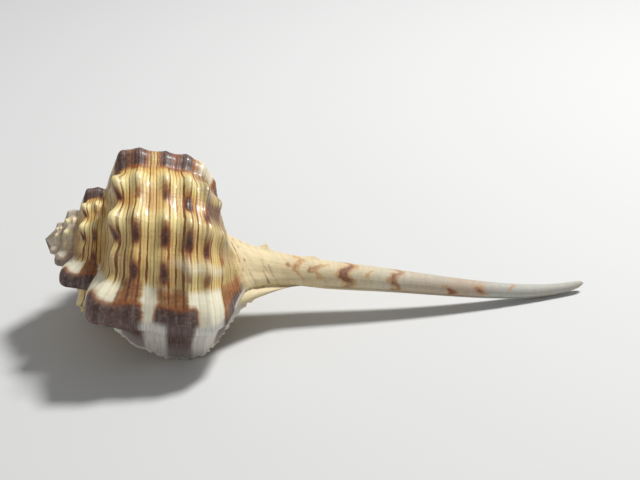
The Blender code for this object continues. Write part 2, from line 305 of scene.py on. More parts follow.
def followCurve(points, place):
    # Catmull-Rom through each row's points: the cubic that passes them with tangents (next - last) / 2
    count = points.shape[1]
    segment = np.clip(np.floor(place).astype(int), 0, count - 2)
    t = (place - segment)[..., None]
    weights = (
        0.5 * (-t + 2 * t**2 - t**3),
        0.5 * (2 - 5 * t**2 + 3 * t**3),
        0.5 * (t + 4 * t**2 - 3 * t**3),
        0.5 * (-(t**2) + t**3),
    )
    rows = np.arange(points.shape[0])[:, None]
    result = np.zeros(place.shape + (2,))
    for offset, weight in enumerate(weights):
        result += weight * points[rows, np.clip(segment + offset - 1, 0, count - 1)]
    return result


def outwardOf(points, place):
    # the tangent turned a quarter, away from the axis
    last = points.shape[1] - 1
    ahead = followCurve(points, np.minimum(place + 0.01, last))
    tangent = ahead - followCurve(points, np.maximum(place - 0.01, 0))
    normal = np.stack([-tangent[..., 1], tangent[..., 0]], axis=-1)
    return normal / np.maximum(np.linalg.norm(normal, axis=-1, keepdims=True), 1e-9)


def curveLength(points):
    # distance travelled from the first point to each
    return np.concatenate([[0], np.cumsum(np.linalg.norm(np.diff(points, axis=0), axis=1))])


stationSteps = np.linspace(0, len(outline) - 1, 2401)
stationPoints = followCurve(outline[None, :, :2], stationSteps[None])[0]
stationRun = curveLength(stationPoints)


def runOf(place):
    # millimetres travelled along the lip's outline from the suture
    return np.interp(place, stationSteps, stationRun)


knobRuns = [float(np.interp(along, stationPoints[:, 0], stationRun)) for along, tall in ribForm["knobs"]]
bodyRun = float(runOf(shellForm["canalStart"]))


def knobProfile(place):
    # a low ridge with a bell at each spiral cord, faded out at the suture and on the canal
    here = runOf(place)
    height = np.full_like(here, ribForm["base"])
    for centre, (along, tall) in zip(knobRuns, ribForm["knobs"]):
        height += (tall - ribForm["base"]) * np.exp(-((here - centre) / ribForm["knobWidth"]) ** 2)
    return height * smoothStep(place / 0.8) * (1 - smoothStep((place - 10) / 1.5))


def spiralRelief(place):
    # bells where the main cords run, and a cosine for the threads between them
    here = runOf(place)
    cords = np.zeros_like(here)
    for centre in knobRuns:
        cords += np.exp(-((here - centre) / ribForm["cordWidth"]) ** 2)
    threads = 0.5 + 0.5 * np.cos(turn * here / ribForm["threadSpacing"])
    height = ribForm["cordHeight"] * cords + ribForm["threadHeight"] * threads
    return height * smoothStep(place / 0.8) * (1 - smoothStep((place - 11.5) / 2))


def knobRoundness(place):
    # narrow bells on the cords less half the mean between them, so knobs stand apart on the ribs
    here = runOf(place)
    bells = sum(np.exp(-((here - centre) / ribForm["knobRoundWidth"]) ** 2) for centre in knobRuns) - 0.4
    return bells * smoothStep(place / 0.8) * (1 - smoothStep((place - 9.5) / 1.5))


def spineHeight(whorl, place, out):
    # tall exp(-(run^2 + (growth angle x out)^2) / width^2) round each spine's own place
    here = runOf(place)
    height = np.zeros_like(out)
    for run, grown, tall, width in spineForm["spines"]:
        roundCanal = turn * (whorl[:, None] - grown) * out
        height += tall * np.exp(-((here - run) ** 2 + roundCanal**2) / width**2)
    return height


def outerSurface(whorl, place, suture):
    # along and out: the coiled outline, moved outwards by the ribs' height times the knob profile,
    # the spiral relief, the knobs that stand out on a varix, and the spines
    points = outlineRows(whorl, suture)
    normal = outwardOf(points, place)
    knob = knobProfile(place)
    rib = ribHeight(whorl)[:, None]
    varix = varixAmount(whorl)[:, None]
    height = rib * knob + spiralRelief(place) * (1 - ribForm["cordLoss"] * varix)
    height = height + ribForm["varixKnobs"] * varix * (knob - ribForm["varixLevel"]) * (knob > 0)
    height = height + ribForm["knobRound"] * rib * knobRoundness(place)
    base = followCurve(points, place)
    height = height * sizeAt(whorl)[:, None] + spineHeight(whorl, place, base[..., 1])
    return base + normal * height[..., None], normal


def toSpace(points, angle):
    # (x, -out sin angle, out cos angle), with the canal's end bent up and back: back grows with
    # bend^2.6, up with bend^7 and a low hump sin(pi bend^0.6)^2, where bend goes from 0 to 1
    x = points[..., 0]
    bend = np.clip((x - canalForm["bendStart"]) / (outline[-1, 0] - canalForm["bendStart"]), 0, 1)
    y = -points[..., 1] * np.sin(angle) + canalForm["bendBack"] * bend**2.6
    hump = canalForm["bendHump"] * np.sin(np.pi * bend**0.6) ** 2
    z = points[..., 1] * np.cos(angle) + canalForm["bendUp"] * bend**7 + hump
    return np.stack([x + 0 * y, y, z], axis=-1)


def bell(x, width, power=2):
    # exp(-|x / width|^power)
    return np.exp(-np.abs(x / width) ** power)


def bandAt(run, edges, soft):
    # 1 between each pair of edges, 0 outside, with soft borders
    total = np.zeros_like(run)
    for low, high in edges:
        total += smoothStep((run - low + soft / 2) / soft) * smoothStep((high + soft / 2 - run) / soft)
    return total


def spanAt(x, start, rise, end, fall):
    # from 0 up to 1 over the rise, and down to 0 over the fall, which ends at the end
    return smoothStep((x - start) / rise) * smoothStep((end - x) / fall)


def spotMarks(grow, here):
    # bells past each knob, longer before their middle than past it, and a wider golden surround
    spots, warm = np.zeros_like(grow + here), np.zeros_like(grow + here)
    length, width, middle = spotForm["halfLength"], spotForm["halfWidth"], spotForm["middle"]
    before, past = spotForm["drawnOut"]
    for rib, tall, number in ribPlaces():
        columns = zip(knobRuns, spotForm["strength"][number], spotForm["lean"], spotForm["later"][number])
        for centre, strength, lean, later in columns:
            near = grow - rib - spotForm["ahead"][number] - later
            across = here - centre - lean * near / length
            drawnOut = length * np.where(near < middle, before, past)
            spots += strength * bell(near - middle, drawnOut) * bell(across, width)
            surround = bell(near + middle, length * spotForm["warmLength"])
            surround = surround * bell(across, width * spotForm["warmWidth"])
            warm += spotForm["warmth"] * strength * surround
    return spots, warm


def lastRibMarks(grow, here):
    # gold, and a pale strip along the rib before each varix that is partly painted highlight
    gold, pale = np.zeros_like(grow + here), np.zeros_like(grow + here)
    (riseFrom, riseOver), (fadeFrom, fadeOver) = lastRibForm["paleRise"], lastRibForm["paleFade"]
    level = lastRibForm["pale"] + lastRibForm["paleGain"] * smoothStep((here - riseFrom) / riseOver)
    level = level * (1 - smoothStep((here - fadeFrom) / fadeOver))
    golden = lastRibForm["goldStrength"] * bandAt(here, lastRibForm["golden"], 1.0)
    for rib, tall, number in ribPlaces():
        if number == 2:
            gold += golden * bell(grow - rib - 0.008, lastRibForm["goldHalfWidth"])
            # painted highlight in part: a pale strip along the rib's crest, stronger towards the canal
            pale += level * bell(grow - rib + 0.003 + 0.002 * np.sin(here), lastRibForm["paleHalfWidth"])
    return gold, pale


def varixMarks(grow, here):
    # brown blocks and purple crests where both a stretch of run and a span of growth say so,
    # and pale ground between them
    blocks, purple, pale = (np.zeros_like(grow + here) for _ in range(3))
    soft = blockForm["soft"]
    start, rise, end, fall = blockForm["purpleSpan"]
    waveHeight, waveTurn = blockForm["purpleWave"]
    start = start - waveHeight * np.sin(here * waveTurn)
    paleEnd, paleFall = blockForm["paleEnd"]
    for number, crest in enumerate(crests()):
        x = grow - crest
        brownSpan = spanAt(x, *blockForm["brownSpan"])
        crestSpan = spanAt(x, start, rise, end, fall)
        paleStrength = 1.0
        blocks += bandAt(here, blockForm["brown"], soft) * brownSpan
        if number == blockForm["upperNumber"]:
            upperBrown = blockForm["upperBrownStrength"] * bandAt(here, blockForm["upperBrown"], 1.0)
            blocks += upperBrown * brownSpan
            between, onKnob, knobWidth = blockForm["upperPurple"]
            crestSpan = crestSpan * (between + onKnob * sum(bell(here - at, knobWidth) for at in knobRuns))
            strength, less, middle = blockForm["upperPale"]
            paleStrength = strength - less * spanAt(here, *middle)
        purple += bandAt(here, blockForm["purple"], soft) * crestSpan
        ground = spanAt(x, *blockForm["paleSpan"])
        pale += ground * (1 - smoothStep((here - paleEnd) / paleFall)) * paleStrength
    return blocks, purple, pale


def frontMarks(grow, here):
    # a spiral band that is strongest just past a varix and narrows from there, with dark patches
    since = np.min([np.where(grow > crest, grow - crest, 9.0) for crest in crests()], axis=0)
    start, end = frontForm["run"]
    narrowing, narrowFrom, narrowMost = frontForm["narrowing"]
    start = start + narrowing * np.clip(since - narrowFrom, 0, narrowMost)
    everywhere, more, fading = frontForm["strength"]
    band = spanAt(here, start - 1, 2, end, 3) * (everywhere + more * np.exp(-((since / fading) ** 2)))
    length, width = frontForm["patchSize"]
    for rib, tall, number in ribPlaces():
        if number < 2:
            ahead, at = frontForm["patches"][number]
            band += bell(grow - rib - ahead, length) * bell(here - at, width, 4)
    return band


def surfaceMarks(whorl, place):
    # one value a vertex for each of markNames: how high the rib and the varix stand, dark spots and their
    # warm surround, brown blocks, purple crests, pale ground with the last rib's strip that is partly
    # painted highlight, the darker front band, the lip's face past the last varix, and the inside of the
    # mouth, which is 0 on the ribbon
    here = runOf(place)[None] + 0 * whorl[:, None]
    grow = whorl[:, None] + 0 * here
    relief = ribHeight(whorl)[:, None] * knobProfile(place)[None] / 2
    varix = varixAmount(whorl)[:, None] + 0 * relief
    spots, warm = spotMarks(grow, here)
    gold, paleAndHighlightStrip = lastRibMarks(grow, here)
    blocks, purple, pale = varixMarks(grow, here)
    band = frontMarks(grow, here)
    later, until, over = blockForm["faceLater"]
    faceStart = blockForm["faceStart"] + later * (1 - smoothStep((here - until) / over))
    face = smoothStep((grow - varixForm["at"] - faceStart) / 0.010)
    every = [relief, varix, spots, warm + gold, blocks, purple, pale + paleAndHighlightStrip, band, face, 0 * relief]
    return np.stack(every, axis=-1).reshape(-1, len(markNames))


def spireBlocks():
    # the whorls before the last. Every whorl has the same rows, so its suture is the next one's edge
    perWhorl = meshDetail["rowsPerWhorl"]
    sutureAt = float(shellForm["suture"])
    spirePlaces = np.linspace(0, sutureAt, spireCount + 1)[:-1]
    edgePlace = np.full((perWhorl + 1, 1), sutureAt)
    rows = np.linspace(shellForm["firstWhorl"], shellForm["firstWhorl"] + 1, perWhorl + 1)
    suture = outline[0, :2] * sizeAt(rows - 1)[:, None]
    suture = outerSurface(rows - 1, edgePlace, suture)[0][:, 0]
    blocks = []
    for number in range(-shellForm["firstWhorl"] - 1):
        blocks.append(outerSurface(rows, spirePlaces + 0 * rows[:, None], suture)[0])
        suture = outerSurface(rows, edgePlace, suture)[0][:, 0]
        rows = rows + 1
    return blocks, rows, suture


def bodyPlaces():
    # outline points of the last whorl's columns: spire part, base, throat, canal
    sutureAt, canalStart, slitStart = shellForm["suture"], shellForm["canalStart"], shellForm["slitStart"]
    return np.concatenate([
        np.linspace(0, sutureAt, spireCount + 1)[:-1],
        np.linspace(sutureAt, canalStart, meshDetail["baseColumns"] + 1)[:-1],
        np.linspace(canalStart, slitStart, meshDetail["throatColumns"] + 1)[:-1],
        np.linspace(slitStart, len(outline) - 1, meshDetail["canalColumns"] + 1),
    ])


def bodyRibbon(rows, places, suture):
    # the last whorl, with the inner lip, the lip's waves, the canal's slit and the lip's skew
    points, normal = outerSurface(rows, places + 0 * rows[:, None], suture)

    # the inner lip stands up along the row where the mouth starts
    window = smoothStep((places - shellForm["suture"] - 0.2) / 2) * (1 - smoothStep((places - 12) / 2))
    ridge = mouthForm["innerLip"] * np.exp(-((rows + 1) / mouthForm["innerLipWidth"]) ** 2)
    points = points + normal * (ridge[:, None] * window)[..., None]

    # small waves along the lip's free edge: two sines of different length
    wavePhase = turn * runOf(places) / ribForm["threadSpacing"]
    wave = (np.sin(wavePhase / 1.3) + 0.7 * np.sin(wavePhase * 1.31)) * smoothStep(places / 1.5)
    wave = wave * (1 - smoothStep((places - 11) / 1.5)) * smoothStep((rows + 0.02) / 0.02)[:, None]
    points = points + normal * (mouthForm["scallop"] * wave)[..., None]

    # the canal's slit: a groove exp(-(angle / half angle)^4) where its start and its end meet
    across = turn * np.minimum(rows + 1, -rows)[:, None]
    groove = np.exp(-(across / math.radians(canalForm["slitHalfDegrees"])) ** 4)
    groove = groove * smoothStep((places - 12) / (shellForm["slitStart"] - 12))
    points[..., 1] *= 1 - (1 - canalForm["slitFloor"]) * groove
    points[0, slitColumn:] = points[-1, slitColumn:]

    skew = smoothStep(places / 1.2) * (1 - smoothStep((places - 2) / 3.5))
    skew = math.radians(mouthForm["lipSkewDegrees"]) * skew
    lipStart = varixForm["at"]
    angle = lipAngle + turn * rows[:, None] + skew * smoothStep((rows[:, None] - lipStart) / -lipStart)
    return points, normal, angle


def hollowRings(edge, edgeAngle):
    # rings from the mouth's edge to the hollow's outline, which turns back into the whorl, shrinks
    # with the whorl's size and narrows at its end
    hollow = np.array(mouthForm["hollow"])
    closed = np.concatenate([hollow[-1:], hollow, hollow[:2]])
    steps = np.linspace(1, len(hollow) + 1, 481)
    curve = followCurve(closed[None], steps[None])[0]

    # the hollow's points matched to the edge's by distance travelled, front to front
    run = curveLength(curve)
    frontRun = np.interp(mouthForm["hollowFront"] + 1, steps, run)
    edgeRun = curveLength(edge)
    rest = edgeRun[-1] + np.linalg.norm(edge[-1] - edge[0]) - edgeRun[slitColumn]
    share = np.where(
        np.arange(len(edge)) <= slitColumn,
        edgeRun / edgeRun[slitColumn] * frontRun,
        frontRun + (edgeRun - edgeRun[slitColumn]) / rest * (run[-1] - frontRun),
    )
    ring = np.stack([np.interp(share, run, curve[:, k]) for k in (0, 1)], axis=-1)

    throat = smoothStep((edge[:, 0] - 38) / 8) * (1 - smoothStep((edge[:, 0] - 52) / 6))
    deeper = np.array([0.0, -math.cos(lipAngle), -math.sin(lipAngle)])
    centre = hollow.mean(axis=0)
    rings = [toSpace(edge, edgeAngle)]
    for number in range(1, meshDetail["hollowRows"] + 1):
        part = number * 9 / meshDetail["hollowRows"]
        blend = float(smoothStep(part / 3.0))
        backBy = mouthForm["hollowDepth"] * (part / 9) ** 1.2
        narrower = 1 - 0.75 * float(smoothStep((part - 5) / 4.5))
        target = (centre + (ring - centre) * narrower) * sizeAt(-backBy)
        here = edge + (target - edge) * blend
        placed = toSpace(here, lipAngle - turn * backBy + (edgeAngle - lipAngle) * (1 - blend))
        sunk = mouthForm["throatDepth"] * float(smoothStep(part / 2.0)) * (1 - blend)
        rings.append(placed - (throat * sunk)[:, None] * deeper)
    return np.array(rings)


def buildShell():
    perWhorl = meshDetail["rowsPerWhorl"]
    blocks, rows, suture = spireBlocks()
    places = bodyPlaces()
    points, normal, angle = bodyRibbon(rows, places, suture)
    body = toSpace(points, angle)

    # the mouth's edge, forwards inside the lip and back along the inner lip
    lip = places[: slitColumn + 1]
    thickness = mouthForm["lipThickness"] * smoothStep(lip / 0.8) * (1 - smoothStep((lip - 10) / 3.5))
    inner = points[-1, : slitColumn + 1] - normal[-1, : slitColumn + 1] * thickness[:, None]
    back = slice(slitColumn - 1, spireCount, -1)
    edge = np.concatenate([inner, points[0, back]])
    rings = hollowRings(edge, np.concatenate([angle[-1, : slitColumn + 1], angle[0, back] + turn]))

    # vertices and marks: spire whorls, body whorl, hollow, then the apex and the hollow's end
    vertices, marks, spireIndex, count = [], [], [], 0
    for number, block in enumerate(blocks):
        whorlRows = shellForm["firstWhorl"] + number + np.linspace(0, 1, perWhorl + 1)
        space = toSpace(block, (lipAngle + turn * whorlRows)[:, None])[:-1]
        vertices.append(space.reshape(-1, 3))
        marks.append(surfaceMarks(whorlRows[:-1], places[:spireCount]))
        spireIndex.append(gridIndex(space, count))
        count += spireIndex[-1].size
    bodyIndex = gridIndex(body, count)
    count += bodyIndex.size
    vertices.append(body.reshape(-1, 3))
    marks.append(surfaceMarks(rows, places))
    hollowIndex = gridIndex(rings, count)
    count += hollowIndex.size
    vertices.append(rings.reshape(-1, 3))
    ringMarks = np.zeros((hollowIndex.size, len(markNames)))
    ringMarks[:, -1] = np.repeat(smoothStep(np.arange(len(rings)) / 3.0), rings.shape[1])
    marks.append(ringMarks)
    apex, innerEnd = count, count + 1
    vertices.append(np.array([[shellForm["apexAlong"], 0.0, 0.0], rings[-1].mean(axis=0)]))
    marks.append(np.zeros((2, len(markNames))))
    marks[-1][1, -1] = 1.0

    # shared vertices: the canal closes on itself, and the mouth's edge is the body's own on the inner
    # lip, at the attachment and in the slit
    bodyIndex[0, slitColumn:] = bodyIndex[-1, slitColumn:]
    bodyIndex[:, -1] = bodyIndex[-1, -1]
    bodyIndex[0, spireCount] = bodyIndex[-1, 0]
    hollowIndex[0, slitColumn + 1 :] = bodyIndex[0, back]
    thin = np.flatnonzero(thickness < 1e-6)
    hollowIndex[0, thin] = bodyIndex[-1, thin]

    # a spire whorl's last column and last row are the next whorl's first
    faces, corners = [], []
    nextFirst = [*[index[:, 0] for index in spireIndex[1:]], bodyIndex[:-1, 0]]
    lowerRows = [*[index[0] for index in spireIndex[1:]], bodyIndex[0, :spireCount]]
    runs = runOf(places)
    for number, index in enumerate(spireIndex):
        whorlRows = shellForm["firstWhorl"] + number + np.linspace(0, 1, perWhorl + 1)
        lastEdge = nextFirst[number + 1][0] if number + 1 < len(spireIndex) else bodyIndex[-1, 0]
        full = np.concatenate([index, nextFirst[number][:, None]], axis=1)
        full = np.concatenate([full, np.append(lowerRows[number], lastEdge)[None]], axis=0)
        addGrid(faces, corners, full, runs[: spireCount + 1], whorlRows)
    addGrid(faces, corners, bodyIndex, runs, rows)
    # the rim of the lip, from its outer to its inner edge, and the hollow behind it
    rimWidth = mouthForm["rimWidth"]
    rim = np.stack([bodyIndex[-1, : slitColumn + 1], hollowIndex[0, : slitColumn + 1]])
    addGrid(faces, corners, rim, runs[: slitColumn + 1], np.array([0.0, rimWidth]))
    wrapped = np.concatenate([hollowIndex, hollowIndex[:, :1]], axis=1)
    hollowRuns = np.concatenate([runs[: slitColumn + 1], runs[back], runs[:1]])
    hollowGrowth = rimWidth + np.linspace(0, mouthForm["hollowDepth"], len(wrapped))
    addGrid(faces, corners, wrapped, hollowRuns, hollowGrowth)
    # caps: the apex and the hollow's blind end
    first = spireIndex[0]
    apexLoop = np.concatenate([first[:, 0], [spireIndex[1][0, 0]], first[0, :0:-1]])
    addFan(faces, corners, apexLoop[::-1], apex, shellForm["firstWhorl"])
    addFan(faces, corners, hollowIndex[-1][::-1], innerEnd, mouthForm["endGrowth"])
    return np.concatenate(vertices), np.concatenate(marks), np.concatenate(faces), np.concatenate(corners)


def gridIndex(points, start):
    # vertex numbers of a grid of points
    return start + np.arange(points.shape[0] * points.shape[1]).reshape(points.shape[:2])


def addGrid(faces, corners, index, runs, whorls):
    # quads between neighbouring rows and columns, each corner with its (run, whorl)
    quads = np.stack([index[:-1, :-1], index[1:, :-1], index[1:, 1:], index[:-1, 1:]], axis=-1)
    runGrid, whorlGrid = np.broadcast_arrays(runs[None, :], whorls[:, None])
    both = np.stack([runGrid, whorlGrid], axis=-1)
    at = np.stack([both[:-1, :-1], both[1:, :-1], both[1:, 1:], both[:-1, 1:]], axis=-2)
    faces.append(quads.reshape(-1, 4))
    corners.append(at.reshape(-1, 4, 2))


def addFan(faces, corners, loop, centre, whorl):
    # triangles round a centre, written as quads whose last corner repeats
    ends = np.roll(loop, -1)
    middle = np.full(len(loop), centre)
    faces.append(np.stack([loop, ends, middle, middle], axis=-1))
    corners.append(np.tile(np.array([0.0, whorl]), (len(loop), 4, 1)))


def makeMesh(name, vertices, faces, corners, marks):
    # quads with a corner repeated become triangles, and unused vertices are left out
    keep = faces != np.roll(faces, -1, axis=1)
    whole, three = keep.all(axis=1), keep.sum(axis=1) == 3
    quads, triangles = faces[whole], faces[three][keep[three]].reshape(-1, 3)
    used, flat = np.unique(np.concatenate([quads.ravel(), triangles.ravel()]), return_inverse=True)
    quadList = flat[: quads.size].reshape(-1, 4).tolist()
    triangleList = flat[quads.size :].reshape(-1, 3).tolist()
    mesh = bpy.data.meshes.new(name)
    mesh.from_pydata(vertices[used] * mm, [], quadList + triangleList)
    uv = np.concatenate([corners[whole].reshape(-1, 2), corners[three][keep[three]]])
    uv = np.stack([uv[:, 0] / uvForm["runs"], (uv[:, 1] - uvForm["first"]) / uvForm["whorls"]], axis=-1)
    mesh.uv_layers.new(name="growth").uv.foreach_set("vector", uv.astype(np.float32).ravel())
    for column, label in enumerate(markNames):
        attribute = mesh.attributes.new(label, "FLOAT", "POINT")
        attribute.data.foreach_set("value", marks[used, column].astype(np.float32))
    mesh.polygons.foreach_set("use_smooth", np.ones(len(mesh.polygons), bool))
    mesh.validate()
    mesh.update()
    return mesh


# the UV map is the run and the growth, fitted into 0 to 1
uvForm = {"runs": 110, "first": -4.2, "whorls": 5}
markNames = ("relief", "varix", "spots", "warm", "blocks", "purple", "pale", "band", "face", "inside")
vertices, marks, faces, corners = buildShell()
shellMesh = makeMesh("murexShell", vertices, faces, corners, marks)
pose = Matrix.Rotation(math.radians(shellForm["pitchDegrees"]), 4, "Y")
pose = pose @ Matrix.Rotation(math.radians(shellForm["rollDegrees"]), 4, "X")
shellMesh.transform(pose)

# centred over the CAD shell's box, and standing where it stands
placed = np.zeros(len(shellMesh.vertices) * 3, np.float32)
shellMesh.vertices.foreach_get("co", placed)
placed = placed.reshape(-1, 3)
low, high = placed.min(axis=0), placed.max(axis=0)
shift = (np.array(cadLow) + np.array(cadHigh) - low - high) / 2
shift[2] = cadLow[2] - low[2]
shellMesh.transform(Matrix.Translation(shift.tolist()))
shell = bpy.data.objects.new("murexShell", shellMesh)
bpy.context.scene.collection.objects.link(shell)
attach(shell, "root")
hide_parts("shell")
print("shell built:", len(shellMesh.vertices), "vertices,", len(shellMesh.polygons), "faces")


class Value:
    # a socket that takes part in arithmetic: each operator adds a Math node
    def __init__(self, paint, socket):
        self.paint = paint
        self.socket = socket

    def math(self, operation, *others):
        return self.paint.value("ShaderNodeMath", {"operation": operation}, [self, *others])

    def __add__(self, other):
        return self.math("ADD", other)

    def __sub__(self, other):
        return self.math("SUBTRACT", other)

    def __mul__(self, other):
        return self.math("MULTIPLY", other)

    def __radd__(self, other):
        return self.math("ADD", other)

    def __rmul__(self, other):
        return self.math("MULTIPLY", other)

    def __rsub__(self, other):
        return self.paint.value("ShaderNodeMath", {"operation": "SUBTRACT"}, [other, self])

    def clamp(self):
        return self.paint.value("ShaderNodeClamp", {}, [self, 0.0, 1.0])

    def step(self, low, high):
        # smooth 0 to 1 between low and high, falling where high is below low
        low, high, flip = (high, low, True) if high < low else (low, high, False)
        found = self.paint.value(
            "ShaderNodeMapRange", {"interpolation_type": "SMOOTHSTEP"}, [self, low, high, 0.0, 1.0]
        )
        return 1 - found if flip else found

    def bell(self, centre, width):
        # exp(-(x / width)^2)
        x = (self - centre) * (1 / width)
        return (x * x * -1).math("EXPONENT")


class Paint:
    # builds one material's nodes
    def __init__(self, name):
        self.material = bpy.data.materials.new(name)
        self.material.use_nodes = True
        self.tree = self.material.node_tree
        self.shader = self.tree.nodes["Principled BSDF"]

    def node(self, kind, settings, inputs):
        # a node's type, its settings, and the values or links of its sockets, by number or by name
        made = self.tree.nodes.new(kind)
        for key, setting in settings.items():
            setattr(made, key, setting)
        named = inputs.items() if isinstance(inputs, dict) else enumerate(inputs)
        for key, given in named:
            if isinstance(given, Value):
                self.tree.links.new(given.socket, made.inputs[key])
            elif isinstance(given, bpy.types.NodeSocket):
                self.tree.links.new(given, made.inputs[key])
            else:
                made.inputs[key].default_value = given
        return made

    def value(self, kind, settings, inputs, output=0):
        return Value(self, self.node(kind, settings, inputs).outputs[output])

    def noise(self, where, scale, detail, roughness):
        inputs = {"Vector": where, "Scale": scale, "Detail": detail, "Roughness": roughness}
        return self.value("ShaderNodeTexNoise", {}, inputs, "Fac")

    def attribute(self, name):
        return self.value("ShaderNodeAttribute", {"attribute_name": name}, [], "Fac")

    def mix(self, amount, first, second):
        # colours, mixed by an amount from 0 to 1
        made = self.node("ShaderNodeMix", {"data_type": "RGBA", "clamp_factor": True}, {})
        for socket, given in ((made.inputs[0], amount), (made.inputs[6], first), (made.inputs[7], second)):
            if isinstance(given, Value):
                self.tree.links.new(given.socket, socket)
            elif isinstance(given, tuple):
                socket.default_value = (*given, 1)
            else:
                socket.default_value = given
        return Value(self, made.outputs[2])

    def into(self, name, given):
        if isinstance(given, Value):
            self.tree.links.new(given.socket, self.shader.inputs[name])
        else:
            self.shader.inputs[name].default_value = given


def tint(code):
    # a colour as it looks, such as e6d9ab, in the numbers that light adds up in
    parts = [int(code[k : k + 2], 16) / 255 for k in (0, 2, 4)]
    return tuple(p / 12.92 if p <= 0.04045 else ((p + 0.055) / 1.055) ** 2.4 for p in parts)


shellColours = {
    "cream": tint("edd284"),
    "paleCream": tint("f7e7a8"),
    "valleyToneAndShade": tint("cf9844"),
    # painted shade in the hollows between the ribs, partly the shell's own yellower tone
    "white": tint("f8f3dc"),
    "gold": tint("bd8030"),
    "shoulder": tint("a8722c"),
    "orange": tint("9a5218"),
    "brown": tint("5c240a"),
    "darkBrown": tint("3c130a"),
    "purple": tint("42261f"),
    # painted highlight grey for the crests, also used for grey streaks on the canal
    "greyStreakAndSheen": tint("8a746c"),
    "line": tint("7c4514"),
    "band": tint("58352e"),
    "apex": tint("dacdb8"),
    "apexDark": tint("907657"),
    "lipFace": tint("c4beba"),
    "lipBand": tint("4c2a22"),
    "canal": tint("e2d0a2"),
    # the canal's tip: partly paler shell, partly painted grey of reflected light
    "canalTipAndReflectedGrey": tint("b8b8ae"),
    "canalMark": tint("74381a"),
    "inside": tint("f0d2b4"),
    "insideDeep": tint("c98a5c"),
}


# noise on Object coordinates: scale, detail, roughness
noiseForm = {
    "broad": (60, 3, 0.55),
    "middle": (190, 3, 0.6),
    "fine": (520, 4, 0.6),
    "small": (1700, 3, 0.6),
}

# noise on the run and the growth: how often it changes along each, then as above
grownNoise = {
    "streaks": (0.06, 70, 2.2, 4, 0.65),    # along the lip's edge, as growth leaves it
    "along": (0.8, 3.0, 1.7, 3, 0.6),       # along the spiral
    "patches": (0.35, 14, 1.0, 3, 0.6),
    "stripes": (1.8, 9, 3.0, 3, 0.6),       # along the spiral on the lip's face
}

glossForm = {
    "coatRoughness": 0.14,
    "refraction": 1.56,
    "bumpStrength": 0.45,
    "bumpDistance": 0.0004,     # metres
}


